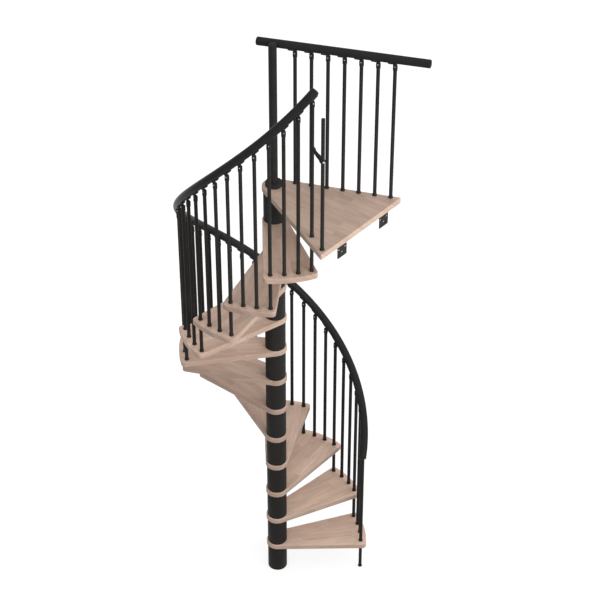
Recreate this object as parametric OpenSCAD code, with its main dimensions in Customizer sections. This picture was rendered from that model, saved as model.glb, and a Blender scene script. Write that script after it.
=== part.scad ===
// Spiral staircase: wooden treads on a steel column, with balusters and a round handrail.
// The origin is on the column's axis at floor level, +Z is up, and +X points from the column
// to the upper floor that the landing meets. Seen from above the stair climbs anticlockwise.

/* [Stair] */
// Number of treads below the landing
treads = 12; // [8:1:13]
// Height from one tread to the next
riser = 223; // [190:1:240]
// Angle from one tread to the next, in degrees
tread_turn = 24.58; // [20:0.01:27]
// Radius of the treads' outer edge
outer_r = 558; // [480:1:700]

/* [Treads and landing] */
// Thickness of the treads and the landing
tread_t = 34; // [28:1:45]
// Ring of wood that shows round the column's spacers
hub_margin = 7; // [3:0.5:20]
// From the end balusters' axes to a tread's side edges
side_margin = 34; // [20:1:45]
// Radius of the treads' outer corners
tread_corner_r = 22; // [6:1:40]
// How far the landing's floor-side edge lies outside the treads' outer edge
landing_over = 50; // [40:1:150]
// Angle of the landing's side edges to its centre line, in degrees
landing_angle = 24; // [20:0.1:30]
// Radius of the landing's outer corners
landing_corner_r = 6; // [4:1:30]

/* [Column] */
// Outer diameter of the spacers between the treads
spacer_d = 119; // [100:0.5:140]
// Wall of the spacers
spacer_wall = 4; // [2:0.5:8]
// Outer diameter of the central pole
pole_d = 45; // [38:0.5:50]
// Wall of the central pole
pole_wall = 4; // [3:0.5:8]
// Height of the pole's domed cap
pole_cap_h = 8; // [4:1:16]
// Diameter of the collar on the landing round the pole
collar_d = 95; // [75:1:110]
// Height of that collar
collar_h = 22; // [12:1:40]
// Thickness of the plate that is bolted to the floor inside the lowest spacer
base_t = 12; // [8:1:20]
// Diameter of the circle of its anchor holes
base_pcd = 76; // [70:1:84]
// Diameter of its anchor holes
base_hole_d = 10.5; // [8:0.5:12]

/* [Balusters] */
// Diameter of the balusters
baluster_d = 20; // [14:0.5:24]
// Balusters that each tread carries
per_tread = 3; // [2:1:4]
// From the treads' outer edge to the balusters' axes
baluster_inset = 34.5; // [20:0.5:45]
// Angle from the landing's centre line to the last spiral baluster, in degrees
last_baluster_angle = -27.56; // [-30:0.01:-26]
// How far uphill of even places the balusters stand on their treads, in degrees
baluster_lead = 0.5; // [0:0.1:1]
// Diameter of the foot collars
foot_d = 26.5; // [25:0.5:34]
// Height of the foot collars
foot_h = 12; // [6:1:24]
// Diameter of the swivel heads under the handrail
head_d = 25; // [25:0.5:32]
// Length of the heads' sleeves
head_h = 25; // [14:1:40]

/* [Handrail] */
// Diameter of the handrails
rail_d = 46; // [38:1:54]
// Height of the spiral rail's centre line over each tread, at its first baluster
rail_rise = 869; // [800:1:1000]
// How far the spiral rail's centre line lies outside the balusters
rail_out = 4.5; // [0:0.5:6]
// Length of the spiral rail below its first baluster
rail_lead = 128; // [60:1:200]
// Length of the spiral rail past its last baluster
rail_tail = 15; // [10:1:60]
// Length of the rails' end caps
cap_t = 6; // [4:1:12]
// Thickness of the saddles that carry the rails
saddle_t = 6; // [3:0.5:10]
// Width of the saddles
saddle_w = 22; // [14:1:30]
// Reach of the saddles from the balusters' axes
saddle_reach = 40; // [25:1:50]

/* [Landing guard] */
// Number of balusters along the landing's open side
guard_count = 7; // [4:1:9]
// From the column's axis to the first of them, along the rail
guard_first = 108; // [90:1:140]
// From the last of them to the landing's floor-side edge, along the rail
guard_last = 50; // [30:1:80]
// Angle of the straight rail to the landing's centre line, in degrees
guard_angle = 24.5; // [20:0.1:30]
// Height of the straight rail's centre line above the landing
guard_rise = 851; // [800:1:960]
// Length of the straight rail past the pole
guard_tail = 93; // [60:1:150]
// Length of the straight rail past the landing's floor-side edge
guard_over = 130; // [40:1:200]
// From the straight rail's centre line down to the top of the single baluster at the entry corner
corner_drop = 58; // [30:1:150]
// From that baluster's axis to the landing's edges
corner_inset = 28; // [18:0.5:40]
// Height above the landing of the link between it and the last spiral baluster
link_rise = 543; // [300:1:700]
// Diameter of the link's rod
link_d = 20; // [12:0.5:21]
// Diameter of the link's sleeve
link_sleeve_d = 23; // [22:0.5:25]
// Diameter of the link's lips, which hold the two balusters
link_lip_d = 30; // [28:0.5:36]
// Thickness of those lips
link_lip_t = 4; // [3:0.5:8]

/* [Floor brackets] */
// Distance between the middles of the two brackets
bracket_span = 356; // [240:1:480]
// How far the pair of them sits off the landing's centre line, toward the straight rail
bracket_shift = 12; // [0:1:20]
// Width of the brackets
bracket_w = 74; // [60:1:100]
// Height of the brackets' upright flange
bracket_h = 70; // [60:1:100]
// Depth of the brackets' level flange
bracket_depth = 60; // [40:1:100]
// Thickness of the brackets
bracket_t = 4; // [3:0.5:10]
// Diameter of the bolt holes in the upright flange
bracket_hole_d = 11; // [6:0.5:13]
// Distance between the upper two bolt holes
bracket_hole_gap = 52; // [40:1:52]
// From the landing's underside to the upper two bolt holes
bracket_upper_drop = 18; // [15:1:24]
// From the landing's underside to the lower bolt hole
bracket_lower_drop = 41; // [36:1:50]

/* [Fits] */
// Clearance round the pole and the balusters where they pass through other pieces
slip_gap = 0.3; // [0.1:0.05:0.5]
// Clearance between the saddles and the rails
saddle_gap = 0.4; // [0.3:0.05:0.6]

/* [Hidden] */
steps = [1:treads];

wood = "#c3a697";
steel = "#2c2b29";
rail_black = "#353432";
$fn = 96;
// Reach of a cut past the faces that it opens
cut = 1;
// Stretches that make up each round part of an outline
arc_points = 16;
// Sides of the spiral rail, and the stretches that make up one baluster's step
rail_sides = 20;
rail_stretches = 2;
// How deep a swivel head's ball sinks into its saddle
head_sink = 3;
// How far a saddle runs on past its baluster's axis, uphill
saddle_back = 10;
// Width of a foot collar's upper edge
foot_lip = 1;
// Number of anchor holes in the base plate
base_bolts = 4;

hub_r = spacer_d / 2 + hub_margin;
pole_r = pole_d / 2;
baluster_r = baluster_d / 2;
head_r = head_d / 2;
rail_r = rail_d / 2;
baluster_ring = outer_r - baluster_inset;
baluster_step = tread_turn / per_tread;
last = treads * per_tread;
landing_z = (treads + 1) * riser;
landing_reach = outer_r + landing_over;
// The pole's cap ends level with the top of the straight rail
pole_top = landing_z + guard_rise + rail_r - pole_cap_h;

// Side edges of a tread: straight, tangent to the hub, a margin outside the end balusters
edge_angle = tread_turn / 2 - asin((hub_r - side_margin) / baluster_ring);

// Spiral rail: climb, angle of slope and the length of one baluster's step along it
rail_ring = baluster_ring + rail_out;
climb = riser / per_tread;
step_arc = rail_ring * baluster_step * PI / 180;
rail_slope = atan(climb / step_arc);
step_length = norm([climb, step_arc]);
rail_first = -rail_lead / step_length;
rail_last = last + rail_tail / step_length;

// Distance from a rail's axis, square to it, to the outside of a saddle and to a head's ball
saddle_out = rail_r + saddle_gap + saddle_t;
ball_drop = saddle_out + head_r - head_sink;

// Straight rail: its line lies beside the pole and runs along the landing's open edge
guard_off = pole_r + slip_gap + rail_r;
guard_edge = (landing_reach + guard_off * sin(guard_angle)) / cos(guard_angle);
guard_pitch = (guard_edge - guard_last - guard_first) / (guard_count - 1);

corner_x = landing_reach - corner_inset;
corner_y = -(hub_r - corner_inset + corner_x * sin(landing_angle)) / cos(landing_angle);

function turn_of(i) = last_baluster_angle - (last - i) * baluster_step;
function on_ring(r, i) = r * [cos(turn_of(i)), sin(turn_of(i)), 0];
function tread_mid(k) = turn_of((k - 0.5) * per_tread) - baluster_lead;
function rail_z(i) = rail_rise + climb * (i + per_tread);
function passes(i) = i % per_tread == 0;
// Level that a baluster stands on: the first one of a tread runs down to the tread below it
function foot_z(i) = passes(i) ? climb * i : riser * ceil(i / per_tread);
function guard_point(s) = [
    s * cos(guard_angle) - guard_off * sin(guard_angle),
    s * sin(guard_angle) + guard_off * cos(guard_angle),
    landing_z
];
function guard_place(n) = guard_point(guard_first + n * guard_pitch);
function rail_joint(s) = s == 0 ? rail_first : s > treads ? rail_last : (s - 0.5) * per_tread;

// Outward normal of a side edge that leans off the centre line by an angle
function edge_normal(angle) = [-sin(angle), cos(angle)];
// Points along a round stretch of an outline
function arc(centre, r, from, to) = [for (j = [0:arc_points])
    let (a = from + (to - from) * j / arc_points) centre + r * [cos(a), sin(a)]];

// Shapes that several pieces share

module ring(outer, inner, height) {
    difference() {
        cylinder(d = outer, h = height);
        hole(inner, height);
    }
}

module hole(d, height) {
    translate([0, 0, -cut]) cylinder(d = d, h = height + 2 * cut);
}

// Outline of one tread along +X: round hub, straight sides, rounded corners, round outer edge
module tread_outline() {
    normal = edge_normal(edge_angle);
    inner = hub_r - tread_corner_r;
    run = sqrt(pow(outer_r - tread_corner_r, 2) - inner * inner);
    corner = inner * normal + run * [normal.y, -normal.x];
    lean = atan2(corner.y, corner.x);
    polygon(concat(
        arc([0, 0], hub_r, 90 + edge_angle, 270 - edge_angle),
        arc([corner.x, -corner.y], tread_corner_r, -90 - edge_angle, -lean),
        arc([0, 0], outer_r, -lean, lean),
        arc(corner, tread_corner_r, lean, 90 + edge_angle)
    ));
}

// Outline of the landing: round hub, straight sides and a straight floor-side edge
module landing_outline() {
    x = landing_reach - landing_corner_r;
    y = (hub_r - landing_corner_r + x * sin(landing_angle)) / cos(landing_angle);
    polygon(concat(
        arc([0, 0], hub_r, 90 + landing_angle, 270 - landing_angle),
        arc([x, -y], landing_corner_r, -90 - landing_angle, 0),
        arc([x, y], landing_corner_r, 0, 90 + landing_angle)
    ));
}

// Flared collar at the foot of a baluster
module foot_collar() {
    inner = baluster_r + slip_gap;
    rotate_extrude() polygon([
        [inner, 0], [foot_d / 2, 0], [foot_d / 2, foot_h / 3], [inner + foot_lip, foot_h], [inner, foot_h]
    ]);
}

// Head of a baluster and the saddle under the rail, about a point on the rail's axis:
// the rail runs along Y and climbs at the slope, and the baluster stands beside or under it
module rail_saddle(slope, beside) {
    drop = ball_drop / cos(slope);
    difference() {
        union() {
            translate([-beside, 0, -drop]) sphere(r = head_r);
            translate([-beside, 0, -drop - head_h]) cylinder(r = head_r, h = head_h);
            rotate([slope + 90, 0, 0])
                translate([0, 0, -saddle_back])
                linear_extrude(saddle_reach + saddle_back)
                saddle_section();
        }
        translate([-beside, 0, -drop - head_h - cut])
            cylinder(r = baluster_r + slip_gap, h = head_h + cut);
    }
}

module saddle_section() {
    intersection() {
        difference() {
            circle(r = saddle_out);
            circle(r = rail_r + saddle_gap);
        }
        translate([-saddle_w / 2, -2 * saddle_out]) square([saddle_w, 2 * saddle_out]);
    }
}

// Rounded cap for a rail's end, on +Z
module end_cap() {
    rotate_extrude() {
        square([rail_r - cap_t, cap_t]);
        intersection() {
            translate([rail_r - cap_t, 0]) circle(r = cap_t);
            square([rail_r, cap_t]);
        }
    }
}

// Bracket under the landing's floor-side edge: a level and an upright flange
module landing_bracket(side) {
    y = bracket_shift + side * bracket_span / 2;
    level = landing_z - tread_t - bracket_t;
    color(steel) translate([landing_reach - bracket_depth, y - bracket_w / 2, level])
    difference() {
        union() {
            cube([bracket_depth, bracket_w, bracket_t]);
            translate([bracket_depth - bracket_t, 0, bracket_t - bracket_h])
                cube([bracket_t, bracket_w, bracket_h]);
        }
        for (e = [-1, 1])
            bracket_hole((bracket_w + e * bracket_hole_gap) / 2, bracket_upper_drop);
        bracket_hole(bracket_w / 2, bracket_lower_drop);
    }
}

module bracket_hole(y, drop) {
    translate([bracket_depth - bracket_t - cut, y, bracket_t - drop])
        rotate([0, 90, 0])
        cylinder(d = bracket_hole_d, h = bracket_t + 2 * cut);
}

// Column

module base_plate() {
    color(steel) difference() {
        cylinder(d = spacer_d - 2 * spacer_wall - 2 * slip_gap, h = base_t);
        for (n = [1:base_bolts])
            rotate((n - 0.5) * 360 / base_bolts)
            translate([base_pcd / 2, 0, 0])
            hole(base_hole_d, base_t);
    }
}

module central_pole() {
    color(steel) translate([0, 0, base_t])
        ring(pole_d, pole_d - 2 * pole_wall, pole_top - base_t);
}

module pole_cap() {
    crown = (pole_r * pole_r + pole_cap_h * pole_cap_h) / (2 * pole_cap_h);
    color(steel) translate([0, 0, pole_top]) intersection() {
        cylinder(r = pole_r, h = pole_cap_h + cut);
        translate([0, 0, pole_cap_h - crown]) sphere(r = crown);
    }
}

module pole_collar() {
    color(steel) translate([0, 0, landing_z]) ring(collar_d, pole_d + 2 * slip_gap, collar_h);
}

module column_spacers() {
    color(steel) for (k = [0:treads])
        translate([0, 0, k * riser])
        ring(spacer_d, spacer_d - 2 * spacer_wall, riser - tread_t);
}

// Treads and landing

module tread(k) {
    color(wood) translate([0, 0, k * riser - tread_t]) difference() {
        rotate(tread_mid(k)) linear_extrude(tread_t) tread_outline();
        hole(pole_d + 2 * slip_gap, tread_t);
        translate(on_ring(baluster_ring, (k - 1) * per_tread))
            hole(baluster_d + 2 * slip_gap, tread_t);
    }
}

module landing() {
    color(wood) translate([0, 0, landing_z - tread_t]) difference() {
        linear_extrude(tread_t) landing_outline();
        hole(pole_d + 2 * slip_gap, tread_t);
        translate(on_ring(baluster_ring, last)) hole(baluster_d + 2 * slip_gap, tread_t);
    }
}

// Balusters, their feet and the saddles on their heads

module spiral_balusters() {
    color(steel) for (i = [0:last])
        translate(on_ring(baluster_ring, i) + [0, 0, foot_z(i)])
        cylinder(d = baluster_d, h = rail_z(i) - ball_drop / cos(rail_slope) - foot_z(i));
}

module landing_balusters() {
    color(steel) for (n = [0:guard_count - 1])
        translate(guard_place(n)) cylinder(d = baluster_d, h = guard_rise - ball_drop);
}

module corner_baluster() {
    color(steel) translate([corner_x, corner_y, landing_z])
        cylinder(d = baluster_d, h = guard_rise - corner_drop);
}

// Short rod and sleeve between the last spiral baluster and the corner baluster, with a lip
// at each end that lies half round the baluster
module corner_link() {
    start = on_ring(baluster_ring, last);
    way = [corner_x, corner_y, 0] - start;
    span = norm(way);
    lip = baluster_r + slip_gap + link_lip_t;
    color(steel) translate(start + [0, 0, landing_z + link_rise])
    rotate(atan2(way.y, way.x))
    difference() {
        rotate([0, 90, 0]) {
            cylinder(d = link_d, h = span);
            translate([0, 0, span / 2]) cylinder(d = link_sleeve_d, h = span / 2);
            for (x = [0, span - lip]) translate([0, 0, x]) cylinder(d = link_lip_d, h = lip);
        }
        for (x = [0, span])
            translate([x, 0, -link_lip_d / 2]) hole(baluster_d + 2 * slip_gap, link_lip_d);
    }
}

module foot_collars() {
    color(steel) {
        for (i = [0:last]) {
            translate(on_ring(baluster_ring, i) + [0, 0, foot_z(i)]) foot_collar();
            if (passes(i))
                translate(on_ring(baluster_ring, i) + [0, 0, foot_z(i) + riser]) foot_collar();
        }
        for (n = [0:guard_count - 1]) translate(guard_place(n)) foot_collar();
        translate([corner_x, corner_y, landing_z]) foot_collar();
    }
}

module spiral_rail_saddles() {
    color(steel) for (i = [0:last])
        translate(on_ring(rail_ring, i) + [0, 0, rail_z(i)])
        rotate(turn_of(i))
        rail_saddle(rail_slope, rail_out);
}

module landing_rail_saddles() {
    color(steel) for (n = [0:guard_count - 1])
        translate(guard_place(n) + [0, 0, guard_rise])
        rotate(guard_angle - 90)
        rail_saddle(0, 0);
}

// Handrails

function rail_rim(i) = let (a = turn_of(i), centre = on_ring(rail_ring, i) + [0, 0, rail_z(i)])
    [for (j = [0:rail_sides - 1]) let (b = 360 * j / rail_sides)
        centre + rail_r * (cos(b) * [cos(a), sin(a), 0]
            + sin(b) * [sin(a) * sin(rail_slope), -cos(a) * sin(rail_slope), cos(rail_slope)])];

// One length of the spiral rail, from joint to joint
module handrail(s) {
    from = rail_joint(s - 1);
    to = rail_joint(s);
    rims = ceil((to - from) * rail_stretches);
    points = [for (r = [0:rims]) each rail_rim(from + (to - from) * r / rims)];
    start = [for (j = [0:rail_sides - 1]) j];
    finish = [for (j = [rail_sides - 1:-1:0]) rims * rail_sides + j];
    sides = [for (r = [0:rims - 1], j = [0:rail_sides - 1])
        let (a = r * rail_sides, next = (j + 1) % rail_sides)
        [a + j, a + rail_sides + j, a + rail_sides + next, a + next]];
    color(rail_black) polyhedron(points, concat([start, finish], sides));
}

module landing_handrail() {
    color(rail_black) translate(guard_point(-guard_tail) + [0, 0, guard_rise])
        rotate([0, 90, guard_angle])
        cylinder(d = rail_d, h = guard_tail + guard_edge + guard_over);
}

module rail_end_caps() {
    color(rail_black) {
        for (e = [[rail_first, 90], [rail_last, -90]])
            translate(on_ring(rail_ring, e[0]) + [0, 0, rail_z(e[0])])
            rotate(turn_of(e[0]))
            rotate([rail_slope + e[1], 0, 0])
            end_cap();
        for (e = [[-guard_tail, -90], [guard_edge + guard_over, 90]])
            translate(guard_point(e[0]) + [0, 0, guard_rise])
            rotate([0, e[1], guard_angle])
            end_cap();
    }
}

base_plate();
central_pole();
pole_cap();
pole_collar();
column_spacers();
for (k = steps) tread(k);
landing();
landing_bracket(-1);  // landing_bracket_near
landing_bracket(1);  // landing_bracket_far
spiral_balusters();
landing_balusters();
corner_baluster();
corner_link();
foot_collars();
spiral_rail_saddles();
landing_rail_saddles();
for (s = [1:treads + 1]) handrail(s);
landing_handrail();
rail_end_caps();
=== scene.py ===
import math

import bmesh
import bpy
from mathutils import Matrix, Vector


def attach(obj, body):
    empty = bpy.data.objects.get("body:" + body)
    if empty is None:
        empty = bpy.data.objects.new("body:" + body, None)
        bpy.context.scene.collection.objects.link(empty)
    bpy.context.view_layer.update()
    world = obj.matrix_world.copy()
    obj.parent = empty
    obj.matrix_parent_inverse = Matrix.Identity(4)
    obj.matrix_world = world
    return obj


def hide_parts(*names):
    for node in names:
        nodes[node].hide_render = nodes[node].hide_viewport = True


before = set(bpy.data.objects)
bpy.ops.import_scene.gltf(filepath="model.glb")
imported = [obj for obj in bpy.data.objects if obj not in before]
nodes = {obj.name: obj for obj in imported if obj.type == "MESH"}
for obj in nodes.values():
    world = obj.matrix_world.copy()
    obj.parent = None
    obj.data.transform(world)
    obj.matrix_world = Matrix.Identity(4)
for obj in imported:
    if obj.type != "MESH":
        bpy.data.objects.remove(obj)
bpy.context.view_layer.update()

scene = bpy.context.scene


# Studio: the stair stands free on a pale floor, seen from above and to the right of its entry.
# The bright room is lighter on the upper floor's side, where a softbox with a grid stands level
# with the landing, so that the edges that face it are the lightest.
class Wire:
    """A node's socket that takes part in Python expressions."""

    def __init__(self, tree, socket=None):
        self.tree = tree
        self.socket = socket

    def make(self, kind, values=None, out=0, **settings):
        node = self.tree.nodes.new(kind)
        for name, value in settings.items():
            setattr(node, name, value)
        for key, value in (values or {}).items():
            if isinstance(value, Wire):
                self.tree.links.new(value.socket, node.inputs[key])
            else:
                node.inputs[key].default_value = value
        return Wire(self.tree, node.outputs[out])

    def math(self, operation, *terms):
        return self.make("ShaderNodeMath", dict(enumerate(terms)), operation=operation)

    def into(self, socket):
        self.tree.links.new(self.socket, socket)

    def __add__(self, other):
        return self.math("ADD", self, other)

    def __radd__(self, other):
        return self.math("ADD", other, self)

    def __sub__(self, other):
        return self.math("SUBTRACT", self, other)

    def __rsub__(self, other):
        return self.math("SUBTRACT", other, self)

    def __mul__(self, other):
        return self.math("MULTIPLY", self, other)

    def __rmul__(self, other):
        return self.math("MULTIPLY", other, self)

    def __truediv__(self, other):
        return self.math("DIVIDE", self, other)

    def __rtruediv__(self, other):
        return self.math("DIVIDE", other, self)

    def vector(self, x, y, z):
        return self.make("ShaderNodeCombineXYZ", {"X": x, "Y": y, "Z": z})

    def noise(self, place, scale, detail=2.0):
        return self.make("ShaderNodeTexNoise", {"Vector": place, "Scale": scale, "Detail": detail})


def in_sight(net):
    """1 for the rays that show the background: straight, mirrored or through glass."""
    rays = net.make("ShaderNodeLightPath").socket.node.outputs
    seen = Wire(net.tree, rays["Is Camera Ray"])
    for kind in ("Is Glossy Ray", "Is Transmission Ray"):
        seen = net.math("MAXIMUM", seen, Wire(net.tree, rays[kind]))
    return seen


scene.view_settings.view_transform = "Standard"
room = bpy.data.worlds.new("room")
scene.world = room
room.use_nodes = True
room_light = room.node_tree.nodes["Background"]
room_light.inputs["Color"].default_value = (1.0, 1.0, 1.0, 1.0)
room_net = Wire(room.node_tree)
room_way = room_net.make("ShaderNodeTexCoord", out="Generated")
room_mean = 0.75
room_lean = (0.52, 0.12, 0.5)
room_slope = room_net.make(
    "ShaderNodeVectorMath", {0: room_way, 1: room_lean}, out="Value", operation="DOT_PRODUCT"
)
room_level = room_mean + room_slope
(room_level + in_sight(room_net) * (1.0 - room_level)).into(room_light.inputs["Strength"])

floor_mesh = bpy.data.meshes.new("floor")
floor_half = 40
floor_corners = [(x * floor_half, y * floor_half, 0) for x, y in ((-1, -1), (1, -1), (1, 1), (-1, 1))]
floor_mesh.from_pydata(floor_corners, [], [(0, 1, 2, 3)])
floor = bpy.data.objects.new("floor", floor_mesh)
scene.collection.objects.link(floor)
floor.location.z = -0.0005
floor_paint = bpy.data.materials.new("floor_paint")
floor_paint.use_nodes = True
floor_bsdf = floor_paint.node_tree.nodes["Principled BSDF"]
floor_bsdf.inputs["Base Color"].default_value = (0.3, 0.3, 0.3, 1.0)
floor_bsdf.inputs["Roughness"].default_value = 1.0
floor_bsdf.inputs["Specular IOR Level"].default_value = 0.0
floor_bsdf.inputs["Emission Strength"].default_value = 0.78
floor_net = Wire(floor_paint.node_tree)
floor_seen = in_sight(floor_net)
floor_net.make("ShaderNodeCombineColor", {0: floor_seen, 1: floor_seen, 2: floor_seen}).into(
    floor_bsdf.inputs["Emission Color"]
)
floor_mesh.materials.append(floor_paint)

key_shape = bpy.data.lights.new("key", "AREA")
key_shape.shape = "RECTANGLE"
key_shape.size = 1.0
key_shape.size_y = 1.2
key_shape.spread = math.radians(66)
key_shape.energy = 8.0
key = bpy.data.objects.new("key", key_shape)
scene.collection.objects.link(key)
key.location = (3.1, -0.4, 3.1)
key_target = Vector((0.0, 0.0, 2.7))
key.rotation_euler = (key_target - key.location).to_track_quat("-Z", "Y").to_euler()

camera_shape = bpy.data.cameras.new("camera")
camera_shape.lens = 112.27
camera_shape.sensor_width = 36.0
camera = bpy.data.objects.new("camera", camera_shape)
scene.collection.objects.link(camera)
camera.location = (5.4836, -6.4204, 8.5769)
camera.rotation_euler = (math.radians(52.553), 0.0, math.radians(39.537))
scene.camera = camera


# Column: steel spacers of 119 mm stand between the treads on a plate that is bolted to the floor.
# A tube runs up through them all and ends as the post over the landing. Everything is powder
# coated in satin black, which leaves a fine orange peel.
def surface(name):
    material = bpy.data.materials.new(name)
    material.use_nodes = True
    return material, material.node_tree.nodes["Principled BSDF"], Wire(material.node_tree)


def paint(material, *names):
    for name in names:
        for place in nodes[name].material_slots:
            place.material = material


powder, powder_bsdf, powder_net = surface("powder_black")
powder_spot = powder_net.make("ShaderNodeTexCoord", out="Object")
powder_cloud = powder_net.noise(powder_spot, 14.0)
powder_peel = powder_net.noise(powder_spot, 700.0, 1.0)
powder_shade = 0.020 + powder_cloud * 0.012
powder_tint = {0: powder_shade, 1: powder_shade * 0.95, 2: powder_shade * 0.9}
powder_net.make("ShaderNodeCombineColor", powder_tint).into(powder_bsdf.inputs["Base Color"])
(0.40 + powder_cloud * 0.14).into(powder_bsdf.inputs["Roughness"])
powder_bsdf.inputs["Specular IOR Level"].default_value = 0.04
powder_net.make("ShaderNodeBump", {"Strength": 0.12, "Distance": 0.0004, "Height": powder_peel}).into(
    powder_bsdf.inputs["Normal"]
)
paint(powder, "base_plate", "central_pole")


def soften(profile, size):
    """A profile with its corners rounded off."""
    smooth = [profile[0]]
    for before, at, after in zip(profile, profile[1:], profile[2:]):
        corner = Vector(at)
        back = Vector(before) - corner
        ahead = Vector(after) - corner
        start = corner + back.normalized() * min(size, back.length / 2)
        end = corner + ahead.normalized() * min(size, ahead.length / 2)
        for n in range(4):
            t = n / 3
            smooth.append(start * (1 - t) ** 2 + corner * (2 * t * (1 - t)) + end * t**2)
    return smooth + [profile[-1]]


def turned(shape, profile, place=Matrix(), sides=40):
    """A profile of radii and heights, turned about its own axis and put in its place."""
    rings = []
    for radius, height in profile:
        turns = [2 * math.pi * n / sides for n in range(sides if radius > 1e-6 else 1)]
        spots = [Vector((radius * math.cos(a), radius * math.sin(a), height)) for a in turns]
        rings.append([shape.verts.new(place @ spot) for spot in spots])
    for low, high in zip(rings, rings[1:]):
        for n in range(sides):
            m = n + 1
            around = (low[n % len(low)], low[m % len(low)], high[m % len(high)], high[n % len(high)])
            shape.faces.new(list(dict.fromkeys(around))).smooth = True


def mesh_of(name, shape):
    bmesh.ops.remove_doubles(shape, verts=shape.verts[:], dist=1e-6)
    mesh = bpy.data.meshes.new(name)
    shape.to_mesh(mesh)
    shape.free()
    return mesh


def piece_of(name, mesh, material):
    piece = bpy.data.objects.new(name, mesh)
    scene.collection.objects.link(piece)
    mesh.materials.append(material)
    return piece


def settle(piece, slot, *replaced):
    """Hands a piece over to the frame."""
    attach(piece, "root")
    if replaced:
        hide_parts(*replaced)


def plan(name, **inputs):
    """A geometry node tree with named sizes."""
    tree = bpy.data.node_groups.new(name, "GeometryNodeTree")
    tree.interface.new_socket("Geometry", in_out="OUTPUT", socket_type="NodeSocketGeometry")
    tree.interface.new_socket("Geometry", in_out="INPUT", socket_type="NodeSocketGeometry")
    for key, value in inputs.items():
        kind = {int: "Int", float: "Float"}[type(value)]
        tree.interface.new_socket(key, in_out="INPUT", socket_type="NodeSocket" + kind).default_value = value
    source = tree.nodes.new("NodeGroupInput")
    return Wire(tree), {socket.name: Wire(tree, socket) for socket in source.outputs if socket.name}


def close(net, geometry, material):
    real = net.make("GeometryNodeRealizeInstances", {0: geometry})
    done = net.make("GeometryNodeSetMaterial", {"Geometry": real, "Material": material})
    done.into(net.tree.nodes.new("NodeGroupOutput").inputs[0])


def bake(piece):
    made = piece.evaluated_get(bpy.context.evaluated_depsgraph_get())
    plain = bpy.data.meshes.new_from_object(made)
    piece.modifiers.clear()
    piece.data = plain
    return piece


def grow(name, net, mesh, **values):
    """A piece made by a node tree from a mesh and sizes of its own."""
    piece = bpy.data.objects.new(name, mesh)
    scene.collection.objects.link(piece)
    build = piece.modifiers.new("build", "NODES")
    build.node_group = net.tree
    for item in net.tree.interface.items_tree:
        if item.name in values:
            build[item.identifier] = values[item.name]
    return bake(piece)


riser = 0.223
tread_thick = 0.034
landing_z = 13 * riser
spacer_r = 0.0595
spacer_wall = 0.004
spacer_bore = spacer_r - spacer_wall
spacer_top = riser - tread_thick
spacer_form = bmesh.new()
turned(
    spacer_form,
    soften(
        [
            (spacer_bore, spacer_top - spacer_wall),
            (spacer_bore, 0.0),
            (spacer_r, 0.0),
            (spacer_r, spacer_top),
            (spacer_bore, spacer_top),
            (spacer_bore, spacer_top - spacer_wall),
        ],
        0.0012,
    ),
    sides=96,
)
stack_net, stack_in = plan("stack", Count=13, Riser=riser)
stack_points = stack_net.make(
    "GeometryNodeMeshLine",
    {"Count": stack_in["Count"], "Offset": stack_net.vector(0.0, 0.0, stack_in["Riser"])},
)
stack_spots = {"Points": stack_points, "Instance": stack_in["Geometry"]}
close(stack_net, stack_net.make("GeometryNodeInstanceOnPoints", stack_spots), powder)
spacers = grow("spacers", stack_net, mesh_of("spacer", spacer_form))
settle(spacers, "black_steel", "column_spacers")

pole_r = 0.0225
collar_form = bmesh.new()
turned(
    collar_form,
    soften(
        [
            (pole_r, 0.0), (0.0475, 0.0), (0.0475, 0.019), (0.0445, 0.022), (0.0245, 0.022),
            (pole_r, 0.0205), (pole_r, 0.0),
        ],
        0.0012,
    ),
    Matrix.Translation((0.0, 0.0, landing_z)),
    72,
)
settle(piece_of("pole_ring", mesh_of("pole_ring", collar_form), powder), "black_steel", "pole_collar")

rail_r = 0.023
guard_rise = 0.851
cap_height = 0.008
cap_r = pole_r + 0.0003
cap_base = landing_z + guard_rise + rail_r - cap_height
cap_form = bmesh.new()
turned(
    cap_form,
    [(0.0, -0.001), (cap_r, -0.001), (cap_r, 0.0012)]
    + [(pole_r * math.cos(a), 0.0015 + 0.0065 * math.sin(a)) for a in (math.pi * n / 24 for n in range(12))]
    + [(0.0, cap_height)],
    Matrix.Translation((0.0, 0.0, cap_base)),
    64,
)
settle(piece_of("post_cap", mesh_of("post_cap", cap_form), powder), "black_steel", "pole_cap")


# Treads: twelve wedges of 34 mm finger-jointed beech, glued up from narrow staves along their
# length, sanded with a small round on every edge and sealed with a satin lacquer. Each one is
# threaded on the pole and clamped between two spacers, 223 mm above the last.
tread_turn = math.radians(24.58)
last_turn = math.radians(-27.56)
baluster_ring = 0.5235
hub_r = 0.0665
outer_r = 0.558
tread_round = 0.022
arris = 0.004
side_margin = 0.034
tread_lean = tread_turn / 2 - math.asin((hub_r - side_margin) / baluster_ring)


def arc(centre, radius, start, end, count):
    turns = [start + (end - start) * n / count for n in range(count + 1)]
    return [(centre[0] + radius * math.cos(a), centre[1] + radius * math.sin(a)) for a in turns]


def tread_edge(inset):
    inner = hub_r - tread_round
    run = math.sqrt((outer_r - tread_round) ** 2 - inner**2)
    x = run * math.cos(tread_lean) - inner * math.sin(tread_lean)
    y = run * math.sin(tread_lean) + inner * math.cos(tread_lean)
    spread = math.atan2(y, x)
    quarter = math.pi / 2
    return (
        arc((0, 0), hub_r - inset, quarter + tread_lean, 3 * quarter - tread_lean, 24)
        + arc((x, -y), tread_round - inset, -quarter - tread_lean, -spread, 8)
        + arc((0, 0), outer_r - inset, -spread, spread, 32)[1:-1]
        + arc((x, y), tread_round - inset, spread, quarter + tread_lean, 8)
    )


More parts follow.
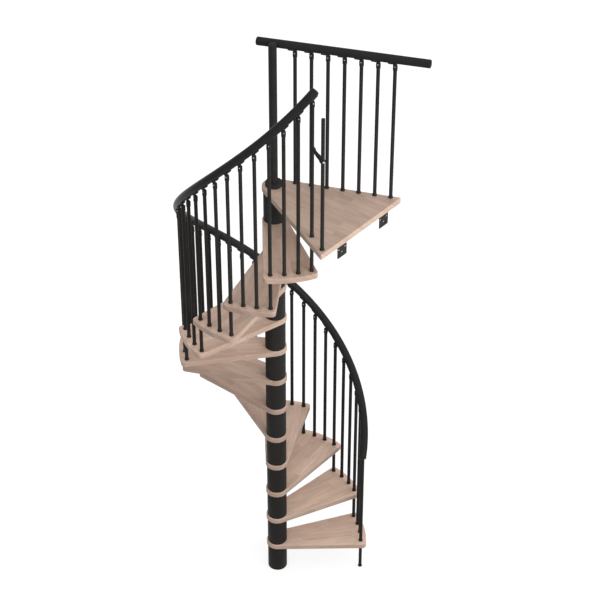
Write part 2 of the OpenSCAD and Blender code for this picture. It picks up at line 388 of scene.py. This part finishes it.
def slab(name, edge, thick, soft, edge_shade):
    """A board with rounded arrises and its grain along x, whose edge is painted darker than its top by a
    share, as painted shade; a negative share paints the edge lighter, as painted light.
    """
    levels = [(soft + 0.002, -thick)]
    levels += [
        (soft * (1 - math.sin(a)), soft * (1 - math.cos(a)) - thick)
        for a in (math.pi * n / 12 for n in range(7))
    ]
    levels += [(inset, -thick - z) for inset, z in reversed(levels)]
    shape = bmesh.new()
    side = shape.verts.layers.float.new("side")
    grain = shape.loops.layers.uv.new("grain")
    rings = [[shape.verts.new((x, y, z)) for x, y in edge(inset)] for inset, z in levels]
    for ring, (inset, _) in zip(rings, levels):
        for vert in ring:
            # Painted shade: the side value darkens the rounded arris and the edge face below the top.
            vert[side] = edge_shade * max(1.0 - inset / soft, 0.0)
    for low, high in zip(rings, rings[1:]):
        for n in range(len(low)):
            m = (n + 1) % len(low)
            shape.faces.new((low[n], low[m], high[m], high[n])).smooth = True
    shape.faces.new(list(reversed(rings[0])))
    shape.faces.new(rings[-1])
    for face in shape.faces:
        for loop in face.loops:
            spot = loop.vert.co
            loop[grain].uv = (spot.x, spot.y + spot.z)
    return mesh_of(name, shape)


beech, beech_bsdf, beech_net = surface("beech")
beech_uv = beech_net.make(
    "ShaderNodeSeparateXYZ", {0: beech_net.make("ShaderNodeUVMap", uv_map="grain")}
).socket.node
along = Wire(beech_net.tree, beech_uv.outputs["X"])
across = Wire(beech_net.tree, beech_uv.outputs["Y"])
board = beech_net.make("ShaderNodeAttribute", out="Fac", attribute_name="board")
# The tone attribute is partly each board's own tone and partly painted light and shade.
tone_and_light = beech_net.make("ShaderNodeAttribute", out="Fac", attribute_name="tone_and_light")
# The side attribute carries painted shade on the edges, and painted light where its share is negative.
side = beech_net.make("ShaderNodeAttribute", out="Fac", attribute_name="side")
stave_wide = 0.042
stave_long = 0.31
row_place = across / stave_wide + board * 7.3
row = beech_net.math("FLOOR", row_place)
row_chance = beech_net.make("ShaderNodeTexWhiteNoise", {"W": row + board * 3.7}, noise_dimensions="1D")
stave_place = along / stave_long + row_chance * 5.0
stave = beech_net.math("FLOOR", stave_place)
stave_chance = beech_net.make(
    "ShaderNodeTexWhiteNoise", {"Vector": beech_net.vector(row, stave, board)}, noise_dimensions="3D"
)
figure = beech_net.noise(beech_net.vector(along * 6.5, across * 48.0, stave_chance * 30.0 + board), 1.0, 3.0)
streak = beech_net.noise(beech_net.vector(along * 14.0, across * 240.0, stave_chance * 17.0), 1.0, 3.0)
fleck = beech_net.noise(beech_net.vector(along * 70.0, across * 520.0, stave_chance * 9.0), 1.0, 1.0)
fleck_dark = beech_net.make("ShaderNodeMapRange", {0: fleck, 1: 0.6, 2: 0.75, 3: 0.0, 4: 1.0})
row_edge = beech_net.math("ABSOLUTE", beech_net.math("FRACT", row_place) - 0.5)
stave_edge = beech_net.math("ABSOLUTE", beech_net.math("FRACT", stave_place) - 0.5)
glue = beech_net.math(
    "MAXIMUM",
    beech_net.math("GREATER_THAN", row_edge, 0.489),
    beech_net.math("GREATER_THAN", stave_edge, 0.4985),
)
beech_grain = stave_chance * 0.36 + figure * 0.95 + streak * 0.3
beech_tone = beech_net.make("ShaderNodeMapRange", {0: beech_grain, 1: 0.45, 2: 1.15, 3: 0.0, 4: 1.0})
beech_light = (0.72, 0.53, 0.426, 1.0)
beech_dark = (0.485, 0.338, 0.264, 1.0)
beech_pore = (0.30, 0.18, 0.125, 1.0)
beech_mix = beech_net.make(
    "ShaderNodeMix", {0: beech_tone, 6: beech_light, 7: beech_dark}, out=2, data_type="RGBA"
)
beech_worn = beech_net.make(
    "ShaderNodeMix",
    {0: fleck_dark * 0.3 + glue * 0.25, 6: beech_mix, 7: beech_pore},
    out=2,
    data_type="RGBA",
)
stave_rose = beech_net.make(
    "ShaderNodeTexWhiteNoise", {"Vector": beech_net.vector(stave, board, row)}, noise_dimensions="3D"
) - 0.5
beech_tint = beech_net.vector(1.0 + stave_rose * 0.03, 1.0 - stave_rose * 0.025, 1.0 + stave_rose * 0.02)
beech_hued = beech_net.make("ShaderNodeVectorMath", {0: beech_worn, 1: beech_tint}, operation="MULTIPLY")
# Painted light and shade: each board's tone and the painted shade on its edges scale the wood colour.
beech_painted_level = tone_and_light * (1.0 - side)
beech_net.make("ShaderNodeVectorMath", {0: beech_hued, "Scale": beech_painted_level}, operation="SCALE").into(
    beech_bsdf.inputs["Base Color"]
)
(0.40 + streak * 0.14).into(beech_bsdf.inputs["Roughness"])
beech_bsdf.inputs["Specular IOR Level"].default_value = 0.2
beech_net.make("ShaderNodeBump", {"Strength": 0.12, "Distance": 0.0003, "Height": streak}).into(
    beech_bsdf.inputs["Normal"]
)

baluster_lead = math.radians(0.5)
first_turn = last_turn - 11.5 * tread_turn - baluster_lead
tread_net, tread_in = plan("tread", Number=1, Turn=tread_turn, First=first_turn, Riser=riser, Tone=1.0)
tread_angle = tread_in["First"] + tread_in["Turn"] * (tread_in["Number"] - 1)
tread_placed = tread_net.make(
    "GeometryNodeTransform",
    {
        "Geometry": tread_in["Geometry"],
        "Translation": tread_net.vector(0.0, 0.0, tread_in["Riser"] * tread_in["Number"]),
        "Rotation": tread_net.vector(0.0, 0.0, tread_angle),
    },
)
tread_marked = tread_net.make(
    "GeometryNodeStoreNamedAttribute",
    {"Geometry": tread_placed, "Name": "board", "Value": tread_in["Number"] * 1.0},
    data_type="FLOAT",
)
# Stores the board's tone, which also carries painted light and shade.
tread_toned_and_lit = tread_net.make(
    "GeometryNodeStoreNamedAttribute",
    {"Geometry": tread_marked, "Name": "tone_and_light", "Value": tread_in["Tone"]},
    data_type="FLOAT",
)
close(tread_net, tread_toned_and_lit, beech)
# Painted shade: the treads' edges are painted 18 percent darker than their tops.
tread_edge_painted_shade = 0.18
tread_blank = slab("tread_blank", tread_edge, tread_thick, arris, tread_edge_painted_shade)
# Each tread's tone is partly its board's own and partly painted light and shade: lighter on the lowest
# treads, darker on the eleventh under the landing.
tread_tones_and_light = (1.12, 1.12, 1.1, 1.01, 0.97, 0.92, 0.91, 1.05, 1.14, 0.98, 0.82, 0.93)
for number, tread_tone_and_light in enumerate(tread_tones_and_light, 1):
    tread = grow(f"beech_tread_{number}", tread_net, tread_blank, Number=number, Tone=tread_tone_and_light)
    settle(tread, "beech", f"tread_{number}")


# Landing: a wider board of the same beech at the head of the stair. Its straight edge meets the
# upper floor, and two steel angle brackets under it are bolted to the slab's face.
landing_lean = math.radians(24.0)
landing_x = 0.608
landing_round = 0.006


def landing_edge(inset):
    x = landing_x - landing_round
    y = (hub_r - landing_round + x * math.sin(landing_lean)) / math.cos(landing_lean)
    quarter = math.pi / 2
    return (
        arc((0, 0), hub_r - inset, quarter + landing_lean, 3 * quarter - landing_lean, 24)
        + arc((x, -y), landing_round - inset, -quarter - landing_lean, 0, 8)
        + arc((x, y), landing_round - inset, 0, quarter + landing_lean, 8)
    )


# Painted light: the landing's edges are painted 12 percent lighter than its top.
landing_edge_painted_light = -0.12
landing_blank = slab("landing_blank", landing_edge, tread_thick, arris, landing_edge_painted_light)
# Painted shade: the landing's top is painted darker than the treads.
landing_painted_shade = 0.71
landing = grow("beech_landing", tread_net, landing_blank, Number=13, Turn=0.0, First=0.0, Tone=landing_painted_shade)
settle(landing, "beech", "landing")


# Brackets: two angles bent from 4 mm flat bar and coated black like the column. The level flange
# is screwed to the landing from below, and the upright one has three holes for slab anchors.
bracket_up = 0.070
bracket_back = 0.060
bracket_bend = 0.008
bracket_flat = bracket_up - bracket_bend
bracket_curve = bracket_flat + bracket_bend * math.pi / 2
bracket_end = bracket_curve + bracket_back - bracket_bend
bracket_half = 0.037
bracket_t = 0.004
landing_under = landing_z - tread_thick


def folded(run):
    """Where a line across the flat bar comes to lie once it is bent."""
    if run <= bracket_flat:
        return 0.0, run - bracket_up
    if run <= bracket_curve:
        a = (run - bracket_flat) / bracket_bend
        return bracket_bend * (math.cos(a) - 1), bracket_bend * (math.sin(a) - 1)
    return bracket_curve - bracket_bend - run, 0.0


def bracket(name, middle):
    quarter = math.pi / 2
    near = 0.004
    far = bracket_end - near
    side = bracket_half - near
    hole_r = 0.0055
    corners = [(near, -side), (far, -side), (far, side), (near, side)]
    loops = [sum((arc(c, near, (n - 2) * quarter, (n - 1) * quarter, 5) for n, c in enumerate(corners)), [])]
    for spot in ((0.052, -0.026), (0.052, 0.026), (0.029, 0.0)):
        loops.append(arc(spot, hole_r, 0, 4 * quarter, 24)[:-1])
    sheet = bmesh.new()
    edges = []
    for loop in loops:
        verts = [sheet.verts.new((x, y, 0)) for x, y in loop]
        edges += [sheet.edges.new((verts[n - 1], verts[n])) for n in range(len(verts))]
    bmesh.ops.triangle_fill(sheet, use_beauty=True, edges=edges)
    for n in range(7):
        cut = bracket_flat + (bracket_curve - bracket_flat) * n / 6
        every = sheet.verts[:] + sheet.edges[:] + sheet.faces[:]
        bmesh.ops.bisect_plane(sheet, geom=every, plane_co=(cut, 0, 0), plane_no=(1, 0, 0))
    for vert in sheet.verts:
        x, z = folded(vert.co.x)
        vert.co = (landing_x + x, middle + vert.co.y, landing_under + z)
    sheet.normal_update()
    if sum(face.normal.x for face in sheet.faces) < 0:
        bmesh.ops.reverse_faces(sheet, faces=sheet.faces[:])
    piece = piece_of(name, mesh_of(name, sheet), powder)
    plate = piece.modifiers.new("plate", "SOLIDIFY")
    plate.thickness = bracket_t
    plate.offset = -1.0
    rounding = piece.modifiers.new("arris", "BEVEL")
    rounding.width = 0.0006
    rounding.segments = 2
    rounding.angle_limit = math.radians(40)
    bake(piece)
    for face in piece.data.polygons:
        face.use_smooth = True
    piece.data.set_sharp_from_angle(angle=math.radians(30))
    return piece


def screw_head(shape, place, radius, height):
    profile = [
        (0.0, -0.0005), (radius, -0.0005), (radius, height * 0.4), (radius * 0.6, height),
        (radius * 0.5, height), (radius * 0.42, height * 0.4), (0.0, height * 0.4),
    ]
    turned(shape, soften(profile, 0.0005), place, 24)


zinc, zinc_bsdf, zinc_net = surface("zinc")
zinc_cloud = zinc_net.noise(zinc_net.make("ShaderNodeTexCoord", out="Object"), 160.0)
zinc_bsdf.inputs["Base Color"].default_value = (0.56, 0.56, 0.54, 1.0)
zinc_bsdf.inputs["Metallic"].default_value = 1.0
(0.28 + zinc_cloud * 0.2).into(zinc_bsdf.inputs["Roughness"])

downward = Matrix.Rotation(math.pi, 4, "X")
bracket_screws = bmesh.new()
for side, middle in (("near", -0.166), ("far", 0.190)):
    settle(bracket(f"bracket_{side}", middle), "black_steel", f"landing_bracket_{side}")
    for offset in (-0.020, 0.020):
        spot = (landing_x - 0.036, middle + offset, landing_under - bracket_t)
        screw_head(bracket_screws, Matrix.Translation(spot) @ downward, 0.0055, 0.0032)
settle(piece_of("bracket_screws", mesh_of("bracket_screws", bracket_screws), zinc), "")


# Balusters: steel rods of 20 mm, three to a tread. The first of each tread runs down through it
# to the tread below and ties the two together. Flared collars hide the holes in the wood.
paint(powder, "spiral_balusters", "landing_balusters", "corner_baluster")
baluster_turn = tread_turn / 3
guard_lean = math.radians(24.5)
guard_off = cap_r + rail_r
guard_edge = (landing_x + guard_off * math.sin(guard_lean)) / math.cos(guard_lean)
guard_count = 7
guard_first = 0.108
guard_margin = 0.050
guard_pitch = (guard_edge - guard_margin - guard_first) / (guard_count - 1)
corner_inset = 0.028
corner_x = landing_x - corner_inset
corner_y = -(hub_r - corner_inset + corner_x * math.sin(landing_lean)) / math.cos(landing_lean)
spiral_count = 37
last_order = spiral_count - 1.0


def spiral_points(net, inputs, count, pick, height):
    order = pick(net.make("GeometryNodeInputIndex") * 1.0)
    angle = inputs["Last"] - (last_order - order) * inputs["Step"]
    east = inputs["Ring"] * net.math("COSINE", angle)
    north = inputs["Ring"] * net.math("SINE", angle)
    line = net.make("GeometryNodeMeshLine", {"Count": count})
    place = net.vector(east, north, height(order))
    return net.make("GeometryNodeSetPosition", {"Geometry": line, "Position": place}), angle


def guard_points(net, inputs, height):
    reach = inputs["Guard First"] + net.make("GeometryNodeInputIndex") * inputs["Guard Pitch"]
    ahead = net.math("COSINE", inputs["Guard Lean"])
    aside = net.math("SINE", inputs["Guard Lean"])
    east = reach * ahead - inputs["Guard Off"] * aside
    north = reach * aside + inputs["Guard Off"] * ahead
    line = net.make("GeometryNodeMeshLine", {"Count": guard_count})
    place = net.vector(east, north, height)
    return net.make("GeometryNodeSetPosition", {"Geometry": line, "Position": place})


def corner_point(net, inputs, height):
    line = net.make("GeometryNodeMeshLine", {"Count": 1})
    place = net.vector(inputs["Corner X"], inputs["Corner Y"], height)
    return net.make("GeometryNodeSetPosition", {"Geometry": line, "Position": place})


def scatter(net, inputs, material, *parts):
    joined = net.make("GeometryNodeJoinGeometry")
    for part in parts:
        part.into(joined.socket.node.inputs[0])
    close(
        net,
        net.make("GeometryNodeInstanceOnPoints", {"Points": joined, "Instance": inputs["Geometry"]}),
        material,
    )


foot_places = {
    "Ring": baluster_ring, "Riser": riser, "Last": last_turn, "Step": baluster_turn, "Top": landing_z,
    "Guard First": guard_first, "Guard Pitch": guard_pitch, "Guard Off": guard_off, "Guard Lean": guard_lean,
    "Corner X": corner_x, "Corner Y": corner_y,
}
collar_net, collar_in = plan("collars", **foot_places)
standing, _ = spiral_points(
    collar_net,
    collar_in,
    spiral_count,
    lambda i: i,
    lambda i: collar_in["Riser"] * collar_net.math("CEIL", i / 3.0 - 0.01),
)
passing, _ = spiral_points(
    collar_net, collar_in, 13, lambda i: i * 3.0, lambda i: collar_in["Riser"] * (i / 3.0 + 1.0)
)
scatter(
    collar_net,
    collar_in,
    powder,
    standing,
    passing,
    guard_points(collar_net, collar_in, collar_in["Top"]),
    corner_point(collar_net, collar_in, collar_in["Top"]),
)
collar_shape = bmesh.new()
turned(
    collar_shape,
    soften(
        [
            (0.0100, 0.0), (0.01325, 0.0), (0.01325, 0.0036), (0.0118, 0.0062), (0.0113, 0.0118),
            (0.0104, 0.0122), (0.0100, 0.0118), (0.0100, 0.0),
        ],
        0.0009,
    ),
    sides=32,
)
collars = grow("collars", collar_net, mesh_of("collar", collar_shape))
settle(collars, "black_steel", "foot_collars")

bolt_net, bolt_in = plan("bolts", Under=landing_under, Thick=tread_thick, **foot_places)
fixed, _ = spiral_points(
    bolt_net,
    bolt_in,
    24,
    lambda j: j + bolt_net.math("FLOOR", j / 2.0 + 0.01) + 1.0,
    lambda i: bolt_in["Riser"] * bolt_net.math("CEIL", i / 3.0 - 0.01) - bolt_in["Thick"],
)
scatter(
    bolt_net,
    bolt_in,
    zinc,
    fixed,
    guard_points(bolt_net, bolt_in, bolt_in["Under"]),
    corner_point(bolt_net, bolt_in, bolt_in["Under"]),
)
washer_r = 0.0105
washer_t = 0.0014
bolt_shape = bmesh.new()
turned(
    bolt_shape,
    soften([(0.0, -0.0005), (washer_r, -0.0005), (washer_r, washer_t), (0.0, washer_t)], 0.0004),
    downward,
    24,
)
screw_head(bolt_shape, Matrix.Translation((0.0, 0.0, -washer_t)) @ downward, 0.0068, 0.0042)
settle(grow("baluster_bolts", bolt_net, mesh_of("bolt", bolt_shape)), "")


# Swivel heads: a black sleeve on each baluster ends in a ball joint with a bright pivot pin. It
# carries a curved saddle of 6 mm that follows the rail's slope and is screwed up into the rail.
saddle_gap = 0.0004
saddle_t = 0.006
saddle_out = rail_r + saddle_gap + saddle_t
saddle_half = 0.011
ball_r = 0.0125
ball_sink = 0.003
ball_drop = saddle_out + ball_r - ball_sink
spiral_rise = 0.869
rail_beside = 0.0045
rail_ring = baluster_ring + rail_beside
rail_climb = riser / 3
rail_slope = math.atan(rail_climb / (rail_ring * baluster_turn))


def saddle(shape, slope):
    along_rail = Vector((0.0, -math.cos(slope), -math.sin(slope)))
    below = Vector((0.0, math.sin(slope), -math.cos(slope)))
    rims = []
    for run in (-10, -9.8, -9, -7.5, -5, 0, 8, 16, 24, 30, 34, 37, 39, 39.8, 40):
        tip = max((run - 30) / 10, (-5 - run) / 5, 0.0)
        wide = saddle_half * max(math.sqrt(max(1 - tip**2, 0.0)), 0.12)
        thin = saddle_t * (1 - 0.25 * tip**2)
        start = along_rail * (run / 1000)
        rim = []
        for n in range(11):
            x = wide * (1 - n / 5)
            lift = rail_r + saddle_gap + thin - 0.0012 * abs(1 - n / 5) ** 6
            rim.append(start + Vector((x, 0, 0)) + below * math.sqrt(lift**2 - x**2))
        lift = rail_r - 0.0002
        for n in range(5):
            x = wide * (n / 2 - 1)
            rim.append(start + Vector((x, 0, 0)) + below * math.sqrt(lift**2 - x**2))
        rims.append([shape.verts.new(spot) for spot in rim])
    for low, high in zip(rims, rims[1:]):
        for n in range(len(low)):
            face = shape.faces.new((low[n - 1], low[n], high[n], high[n - 1]))
            face.smooth = 0 < n < 11
    shape.faces.new(list(reversed(rims[0])))
    shape.faces.new(rims[-1])
    place = (along_rail * 0.029 + below * (saddle_out - saddle_gap)).to_tuple()
    turn = below.to_track_quat("Z", "Y").to_matrix().to_4x4()
    screw_head(shape, Matrix.Translation(place) @ turn, 0.0042, 0.0022)


def head_shape(slope, beside):
    shape = bmesh.new()
    saddle(shape, slope)
    drop = ball_drop / math.cos(slope)
    ball = [(ball_r * math.cos(a), ball_r * math.sin(a)) for a in (math.pi * n / 20 for n in range(1, 10))]
    sleeve = soften(
        [
            (0.0, -0.0252), (0.0121, -0.0252), (ball_r, -0.0235), (ball_r, -0.0075), (0.0119, -0.0066),
            (0.0119, -0.0052), (ball_r, -0.0043), (ball_r, 0.0),
        ],
        0.0006,
    )
    turned(shape, sleeve + ball + [(0.0, ball_r)], Matrix.Translation((-beside, 0.0, -drop)), 32)
    bmesh.ops.recalc_face_normals(shape, faces=shape.faces[:])
    return shape


def pin_shape(slope, beside):
    shape = bmesh.new()
    drop = ball_drop / math.cos(slope)
    for side in (-1, 1):
        place = Matrix.Translation((side * 0.0118 - beside, 0.0, -drop))
        screw_head(shape, place @ Matrix.Rotation(side * math.pi / 2, 4, "Y"), 0.0034, 0.0028)
    return shape


def on_spiral(name, material):
    net, inputs = plan(
        name, Ring=rail_ring, Rise=spiral_rise, Climb=rail_climb, Last=last_turn, Step=baluster_turn
    )
    points, angle = spiral_points(
        net, inputs, spiral_count, lambda i: i, lambda i: inputs["Rise"] + inputs["Climb"] * (i + 3.0)
    )
    turn = net.vector(0.0, 0.0, angle)
    spots = {"Points": points, "Instance": inputs["Geometry"], "Rotation": turn}
    close(net, net.make("GeometryNodeInstanceOnPoints", spots), material)
    return net


def on_guard(name, material):
    net, inputs = plan(name, Height=landing_z + guard_rise, **foot_places)
    points = guard_points(net, inputs, inputs["Height"])
    turn = net.vector(0.0, 0.0, inputs["Guard Lean"] - math.pi / 2)
    spots = {"Points": points, "Instance": inputs["Geometry"], "Rotation": turn}
    close(net, net.make("GeometryNodeInstanceOnPoints", spots), material)
    return net


spiral_head = mesh_of("spiral_head", head_shape(rail_slope, rail_beside))
spiral_heads = grow("spiral_heads", on_spiral("spiral_heads", powder), spiral_head)
settle(spiral_heads, "black_steel", "spiral_rail_saddles")
spiral_pin = mesh_of("spiral_pin", pin_shape(rail_slope, rail_beside))
settle(grow("spiral_pins", on_spiral("spiral_pins", zinc), spiral_pin), "")
guard_head = mesh_of("guard_head", head_shape(0.0, 0.0))
guard_heads = grow("guard_heads", on_guard("guard_heads", powder), guard_head)
settle(guard_heads, "black_steel", "landing_rail_saddles")
guard_pin = mesh_of("guard_pin", pin_shape(0.0, 0.0))
settle(grow("guard_pins", on_guard("guard_pins", zinc), guard_pin), "")


# Spiral handrail: thirteen lengths of black plastic tube, bent to the stair's own spiral and
# pushed end to end over joining pins, so that a fine seam shows over the middle of each tread.
rail_skin, rail_bsdf, rail_net = surface("rail_black")
rail_spot = rail_net.make("ShaderNodeTexCoord", out="Object")
rail_cloud = rail_net.noise(rail_spot, 22.0)
rail_grit = rail_net.noise(rail_spot, 900.0, 1.0)
rail_shade = 0.017 + rail_cloud * 0.010
rail_net.make("ShaderNodeCombineColor", {0: rail_shade, 1: rail_shade, 2: rail_shade}).into(
    rail_bsdf.inputs["Base Color"]
)
(0.24 + rail_cloud * 0.10).into(rail_bsdf.inputs["Roughness"])
rail_bsdf.inputs["Specular IOR Level"].default_value = 0.04
rail_net.make("ShaderNodeBump", {"Strength": 0.06, "Distance": 0.0003, "Height": rail_grit}).into(
    rail_bsdf.inputs["Normal"]
)

rail_path, rail_in = plan(
    "rail", Start=0.0, End=3.0, Ring=rail_ring, Rise=spiral_rise, Climb=rail_climb, Step=baluster_turn,
    Last=last_turn, Radius=rail_r, Soft=0.0015,
)
rail_pitch = 0.1059
rail_count = 64
rail_line = rail_path.make("GeometryNodeMeshLine", {"Count": rail_count})
rail_order = rail_path.make("GeometryNodeInputIndex")
rail_ease = 0.5 - 0.5 * rail_path.math("COSINE", rail_order * (math.pi / (rail_count - 1)))
rail_where = rail_in["Start"] + (rail_in["End"] - rail_in["Start"]) * rail_ease
rail_angle = rail_in["Last"] - (last_order - rail_where) * rail_in["Step"]
rail_bent = rail_path.make(
    "GeometryNodeSetPosition",
    {
        "Geometry": rail_line,
        "Position": rail_path.vector(
            rail_in["Ring"] * rail_path.math("COSINE", rail_angle),
            rail_in["Ring"] * rail_path.math("SINE", rail_angle),
            rail_in["Rise"] + rail_in["Climb"] * (rail_where + 3.0),
        ),
    },
)
rail_curve = rail_path.make("GeometryNodeMeshToCurve", {"Mesh": rail_bent})
rail_apart = rail_path.math("MINIMUM", rail_where - rail_in["Start"], rail_in["End"] - rail_where)
rail_dip = rail_path.math("MAXIMUM", 1.0 - rail_apart * rail_pitch / rail_in["Soft"], 0.0)
rail_size = rail_in["Radius"] * (1.0 - 0.05 * rail_dip * rail_dip)
rail_round = rail_path.make("GeometryNodeCurvePrimitiveCircle", {"Resolution": 32, "Radius": 1.0})
rail_tube = rail_path.make(
    "GeometryNodeCurveToMesh",
    {"Curve": rail_curve, "Profile Curve": rail_round, "Scale": rail_size, "Fill Caps": True},
)
close(rail_path, rail_tube, rail_skin)
rail_lead = 0.128
rail_tail = 0.015
rail_seams = [1.5 + 3 * n for n in range(12)]
rail_ends = [-rail_lead / rail_pitch] + rail_seams + [last_order + rail_tail / rail_pitch]
for number, (start, end) in enumerate(zip(rail_ends, rail_ends[1:]), 1):
    length = grow(f"rail_{number}", rail_path, bpy.data.meshes.new("rail_seed"), Start=start, End=end)
    for face in length.data.polygons:
        face.use_smooth = len(face.vertices) == 4
    settle(length, "rail_plastic", f"handrail_{number}")


# Landing guard: a straight length of the same rail along the open side, set beside the post. Push-in
# plugs with a domed face close the ends of both rails.
paint(rail_skin, "landing_handrail")


def spiral_end(order, way):
    angle = last_turn - (last_order - order) * baluster_turn
    spot = Vector((math.cos(angle), math.sin(angle), 0)) * rail_ring
    spot.z = spiral_rise + rail_climb * (order + 3)
    level = Vector((-math.sin(angle), math.cos(angle), 0)) * math.cos(rail_slope)
    return spot, (level + Vector((0, 0, math.sin(rail_slope)))) * way


def guard_end(reach, way):
    ahead = Vector((math.cos(guard_lean), math.sin(guard_lean), 0))
    aside = Vector((-math.sin(guard_lean), math.cos(guard_lean), 0))
    return ahead * reach + aside * guard_off + Vector((0, 0, landing_z + guard_rise)), ahead * way


plug_profile = soften(
    [
        (0.0, -0.002), (0.0215, -0.002), (0.0222, -0.0004), (0.0231, 0.0004), (0.0231, 0.0010),
        (0.0219, 0.0036), (0.0190, 0.0058), (0.0142, 0.0074), (0.0080, 0.0082), (0.0, 0.0085),
    ],
    0.0016,
)
guard_back = 0.093
guard_over = 0.130
plug_shape = bmesh.new()
for spot, way in (
    spiral_end(rail_ends[0], -1), spiral_end(rail_ends[-1], 1),
    guard_end(-guard_back, -1), guard_end(guard_edge + guard_over, 1),
):
    plug_turn = way.to_track_quat("Z", "Y").to_matrix().to_4x4()
    turned(plug_shape, plug_profile, Matrix.Translation(spot) @ plug_turn)
settle(piece_of("rail_plugs", mesh_of("rail_plugs", plug_shape), rail_skin), "rail_plastic", "rail_end_caps")


# Corner tie: a short rod in a sleeve braces the single baluster at the landing's entry corner from
# the last one of the spiral. Its lips lie round both, and a bolt through each holds it.
tie_start = Vector((baluster_ring * math.cos(last_turn), baluster_ring * math.sin(last_turn), 0))
tie_way = Vector((corner_x, corner_y, 0)) - tie_start
tie_span = tie_way.length
tie_rise = 0.543
tie_frame = Matrix.Translation(tie_start + Vector((0, 0, landing_z + tie_rise)))
tie_frame = tie_frame @ tie_way.to_track_quat("Z", "Y").to_matrix().to_4x4()
tie_shape = bmesh.new()
turned(
    tie_shape,
    soften(
        [
            (0.0, 0.0), (0.015, 0.0), (0.015, 0.0143), (0.0112, 0.019), (0.010, 0.026),
            (0.010, tie_span / 2), (0.0115, tie_span / 2 + 0.0005), (0.0115, tie_span - 0.026),
            (0.0125, tie_span - 0.019), (0.015, tie_span - 0.0143), (0.015, tie_span), (0.0, tie_span),
        ],
        0.0012,
    ),
    tie_frame,
    40,
)
settle(piece_of("corner_tie", mesh_of("corner_tie", tie_shape), powder), "black_steel", "corner_link")
bolt_out = 0.0095
bolt_r = 0.0058
bolt_height = 0.0036
tie_bolts = bmesh.new()
screw_head(tie_bolts, tie_frame @ Matrix.Translation((0, 0, tie_span + bolt_out)), bolt_r, bolt_height)
screw_head(tie_bolts, tie_frame @ Matrix.Translation((0, 0, -bolt_out)) @ downward, bolt_r, bolt_height)
settle(piece_of("corner_bolts", mesh_of("corner_bolts", tie_bolts), zinc), "")
